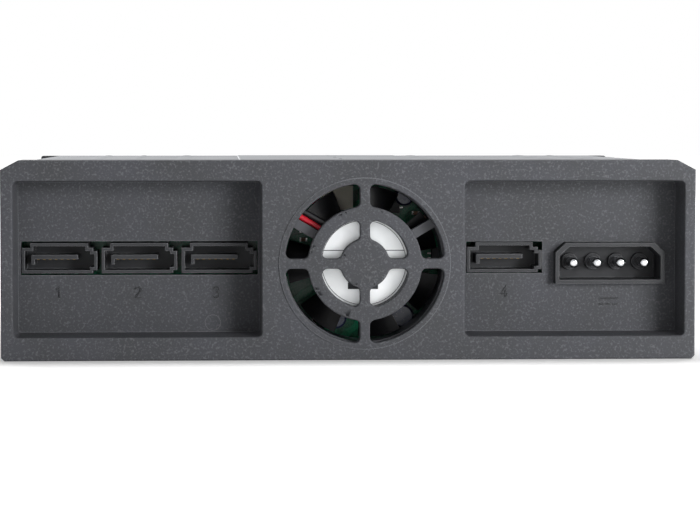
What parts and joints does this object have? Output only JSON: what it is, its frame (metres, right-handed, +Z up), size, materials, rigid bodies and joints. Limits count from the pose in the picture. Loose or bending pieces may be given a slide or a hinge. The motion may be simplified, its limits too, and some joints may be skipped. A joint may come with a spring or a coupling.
{
  "type": "hot swap drive cage",
  "caption": "Low rectangular drive cage for a PC bay: removable trays with lever handles at the front, a fan behind a spoked grille and recessed ports at the back.",
  "frame": {"origin": "middle of the base, centred across and from front to rear", "axes": "+Z up from the base, +Y towards the rear face with the ports, trays leave towards -Y, +X to the right as seen from the tray side"},
  "size_m": [0.148, 0.148, 0.042],
  "materials": {
    "zinc_steel": "zinc-plated sheet, dull",
    "housing_abs": "moulded ABS with a fine spark texture",
    "bezel_abs": "moulded ABS, fine texture",
    "lever_abs": "moulded ABS, fine texture",
    "button_abs": "smooth moulded ABS",
    "board_green": "solder-masked glass fibre board",
    "connector_black": "glass-filled nylon",
    "contact_gold": "gold-flashed contact",
    "pin_tin": "tin-plated brass pin",
    "fan_grey": "moulded fan plastic",
    "fan_black": "moulded fan plastic",
    "winding_copper": "enamelled copper wire on steel laminations",
    "bearing_bronze": "sintered bronze sleeve",
    "label_silver": "bare film label",
    "lead_red": "PVC insulation",
    "lead_black": "PVC insulation",
    "plug_white": "natural nylon",
    "screw_steel": "zinc-plated screw",
    "lamp_clear": "clear epoxy lamp",
    "capacitor_can": "sleeved aluminium can",
    "shaft_steel": "ground steel",
    "magnet_ferrite": "bonded ferrite",
    "guide_clear": "clear acrylic",
    "spring_steel": "spring steel strip"
  },
  "bodies": {
    "cage": {"chassis_shell": "zinc_steel", "top_cover": "zinc_steel", "centre_divider": "zinc_steel", "front_frame": "bezel_abs", "rear_housing": "housing_abs", "backplane_board": "board_green", "drive_sockets": "connector_black", "data_port_contacts": "contact_gold", "power_inlet": "connector_black", "power_pins": "pin_tin", "fan_frame": "fan_grey", "fan_stator": "winding_copper", "fan_bearing": "bearing_bronze", "fan_label": "label_silver", "fan_lead_red": "lead_red", "fan_lead_black": "lead_black", "fan_plug": "plug_white", "fan_header": "plug_white", "fan_screws": "screw_steel", "board_screws": "screw_steel", "cover_screws": "screw_steel", "housing_screws": "screw_steel", "status_lamps": "lamp_clear", "board_capacitors": "capacitor_can", "data_port_1": "connector_black", "data_port_2": "connector_black", "data_port_3": "connector_black", "data_port_4": "connector_black"},
    "fan": {"fan_rotor": "fan_black", "fan_shaft": "shaft_steel", "fan_magnet": "magnet_ferrite"},
    "tray_1": {"tray_1_sled": "zinc_steel", "tray_1_bezel": "bezel_abs", "tray_1_light_guide": "guide_clear", "tray_1_lever_pin": "shaft_steel", "tray_1_button_spring": "spring_steel"},
    "tray_1_lever": {"tray_1_lever": "lever_abs"},
    "tray_1_button": {"tray_1_release_button": "button_abs"},
    "tray_2": {"tray_2_sled": "zinc_steel", "tray_2_bezel": "bezel_abs", "tray_2_light_guide": "guide_clear", "tray_2_lever_pin": "shaft_steel", "tray_2_button_spring": "spring_steel"},
    "tray_2_lever": {"tray_2_lever": "lever_abs"},
    "tray_2_button": {"tray_2_release_button": "button_abs"},
    "tray_3": {"tray_3_sled": "zinc_steel", "tray_3_bezel": "bezel_abs", "tray_3_light_guide": "guide_clear", "tray_3_lever_pin": "shaft_steel", "tray_3_button_spring": "spring_steel"},
    "tray_3_lever": {"tray_3_lever": "lever_abs"},
    "tray_3_button": {"tray_3_release_button": "button_abs"},
    "tray_4": {"tray_4_sled": "zinc_steel", "tray_4_bezel": "bezel_abs", "tray_4_light_guide": "guide_clear", "tray_4_lever_pin": "shaft_steel", "tray_4_button_spring": "spring_steel"},
    "tray_4_lever": {"tray_4_lever": "lever_abs"},
    "tray_4_button": {"tray_4_release_button": "button_abs"}
  },
  "joints": [
    {"name": "fan_spin", "type": "hinge", "parent": "cage", "child": "fan", "pos_m": [-0.00315, 0.063, 0.0203], "axis": [0, 1, 0], "continuous": true},
    {"name": "tray_1_slide", "type": "slide", "parent": "cage", "child": "tray_1", "axis": [0, -1, 0], "range_m": [0, 0.11]},
    {"name": "tray_1_lever_swing", "type": "hinge", "parent": "tray_1", "child": "tray_1_lever", "pos_m": [0.0058, -0.0714, 0.03097], "axis": [0, 0, -1], "range_deg": [0, 75]},
    {"name": "tray_1_button_press", "type": "slide", "parent": "tray_1", "child": "tray_1_button", "axis": [0, 1, 0], "range_m": [0, 0.0015], "stiffness_N_per_m": 400, "springref_m": -0.0015, "deforming": ["tray_1_button_spring"]},
    {"name": "tray_2_slide", "type": "slide", "parent": "cage", "child": "tray_2", "axis": [0, -1, 0], "range_m": [0, 0.11]},
    {"name": "tray_2_lever_swing", "type": "hinge", "parent": "tray_2", "child": "tray_2_lever", "pos_m": [-0.0668, -0.0714, 0.03097], "axis": [0, 0, -1], "range_deg": [0, 75]},
    {"name": "tray_2_button_press", "type": "slide", "parent": "tray_2", "child": "tray_2_button", "axis": [0, 1, 0], "range_m": [0, 0.0015], "stiffness_N_per_m": 400, "springref_m": -0.0015, "deforming": ["tray_2_button_spring"]},
    {"name": "tray_3_slide", "type": "slide", "parent": "cage", "child": "tray_3", "axis": [0, -1, 0], "range_m": [0, 0.11]},
    {"name": "tray_3_lever_swing", "type": "hinge", "parent": "tray_3", "child": "tray_3_lever", "pos_m": [0.0058, -0.0714, 0.01077], "axis": [0, 0, -1], "range_deg": [0, 75]},
    {"name": "tray_3_button_press", "type": "slide", "parent": "tray_3", "child": "tray_3_button", "axis": [0, 1, 0], "range_m": [0, 0.0015], "stiffness_N_per_m": 400, "springref_m": -0.0015, "deforming": ["tray_3_button_spring"]},
    {"name": "tray_4_slide", "type": "slide", "parent": "cage", "child": "tray_4", "axis": [0, -1, 0], "range_m": [0, 0.11]},
    {"name": "tray_4_lever_swing", "type": "hinge", "parent": "tray_4", "child": "tray_4_lever", "pos_m": [-0.0668, -0.0714, 0.01077], "axis": [0, 0, -1], "range_deg": [0, 75]},
    {"name": "tray_4_button_press", "type": "slide", "parent": "tray_4", "child": "tray_4_button", "axis": [0, 1, 0], "range_m": [0, 0.0015], "stiffness_N_per_m": 400, "springref_m": -0.0015, "deforming": ["tray_4_button_spring"]}
  ]
}
